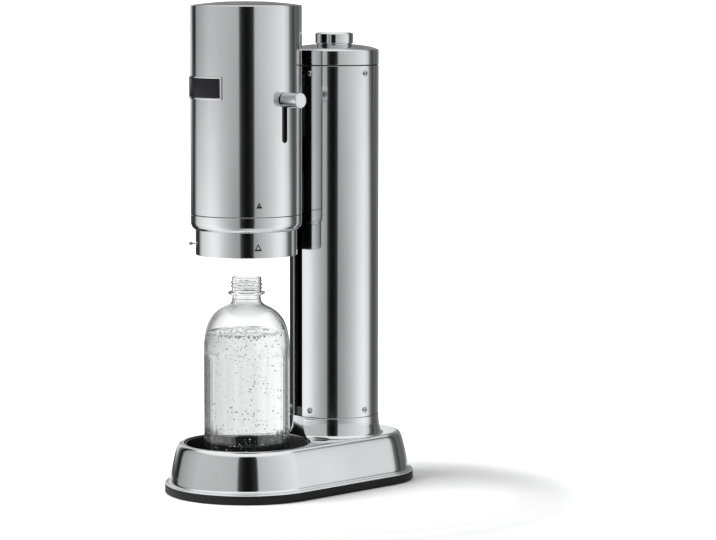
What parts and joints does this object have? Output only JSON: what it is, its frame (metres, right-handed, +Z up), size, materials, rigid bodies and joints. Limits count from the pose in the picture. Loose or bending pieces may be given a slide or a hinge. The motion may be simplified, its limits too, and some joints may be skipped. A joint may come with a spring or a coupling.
{
  "type": "sparkling water maker",
  "caption": "Free-standing sparkling water maker: round head with sliding shroud and side lever on a gas column, over a bottle in a drip tray.",
  "frame": {"origin": "on the floor under the middle of the object's bounding box, which is 50.05 mm behind the bottle's axis", "axes": "+Z up, -Y the front where the bottle stands, +X the lever's side; the bottle's, head's and column's axes lie in the plane X = 0"},
  "size_m": [0.1468, 0.247, 0.4376],
  "materials": {
    "polished_steel": "polished stainless steel",
    "brushed_steel": "fine brushed stainless steel with a high sheen",
    "dark_steel": "plain steel",
    "black_rubber": "matt",
    "black_plastic": "satin moulded",
    "badge_black": "gloss",
    "clear_bottle": "clear",
    "gas_cylinder": "satin lacquer",
    "brass": "turned",
    "hose": "satin"
  },
  "bodies": {
    "stand": {"base_shell": "polished_steel", "foot_band": "black_rubber", "base_floor": "black_plastic", "column_collar": "polished_steel", "column_tube": "brushed_steel", "seat_ring": "black_plastic", "column_guide": "black_plastic", "column_screw_low_1": "dark_steel", "column_screw_low_2": "dark_steel", "column_screw_low_3": "dark_steel", "column_screw_low_4": "dark_steel", "column_screw_low_5": "dark_steel", "column_screw_high_1": "dark_steel", "column_screw_high_2": "dark_steel", "column_screw_high_3": "dark_steel", "column_screw_high_4": "dark_steel", "column_screw_high_5": "dark_steel", "gas_cylinder": "gas_cylinder", "cylinder_valve": "brass", "valve_head": "black_plastic", "gas_pipe": "brushed_steel", "gas_manifold": "black_plastic", "neck_block": "brushed_steel", "head_shell": "brushed_steel", "head_ring": "polished_steel", "badge_frame": "polished_steel", "badge_plate": "badge_black"},
    "shroud": {"shroud_tube": "brushed_steel", "seal_carrier": "black_plastic", "bottle_seal": "black_rubber", "nozzle_tube": "brushed_steel", "nozzle_tip": "black_plastic", "relief_valve": "brass", "gas_hose_coil": "hose", "carrier_arm": "brushed_steel", "carriage": "black_plastic", "shroud_stud": "dark_steel"},
    "lever": {"lever_knob": "polished_steel", "lever_slider": "black_plastic"},
    "valve_pin_body": {"valve_pin": "brass"},
    "cap": {"cap_gasket": "black_rubber", "cap_shell": "brushed_steel", "cap_knob": "polished_steel", "cap_plug": "black_plastic"},
    "tray": {"drip_tray": "black_plastic", "drip_grille": "black_plastic"},
    "bottle_body": {"bottle": "clear_bottle"}
  },
  "joints": [
    {"name": "shroud_slide", "type": "slide", "parent": "stand", "child": "shroud", "axis": [0, 0, -1], "range_m": [0, 0.1675], "deforming": ["gas_hose_coil"]},
    {"name": "lever_slide", "type": "slide", "parent": "stand", "child": "lever", "axis": [0, 0, -1], "range_m": [0, 0.0345], "stiffness_N_per_m": 400, "springref_m": -0.012},
    {"name": "valve_pin_slide", "type": "slide", "parent": "stand", "child": "valve_pin_body", "axis": [0, 0, -1], "range_m": [0, 0.0028]},
    {"name": "cap_lift", "type": "slide", "parent": "stand", "child": "cap", "axis": [0, 0, 1], "range_m": [0, 0.03]},
    {"name": "tray_lift", "type": "slide", "parent": "stand", "child": "tray", "axis": [0, 0, -1], "range_m": [-0.04, 0]},
    {"name": "bottle_lift", "type": "slide", "parent": "tray", "child": "bottle_body", "axis": [0, 0, -1], "range_m": [-0.038, 0]}
  ],
  "couplings": [
    {"joint": "valve_pin_slide", "follows": "lever_slide", "ratio": 0.08}
  ]
}
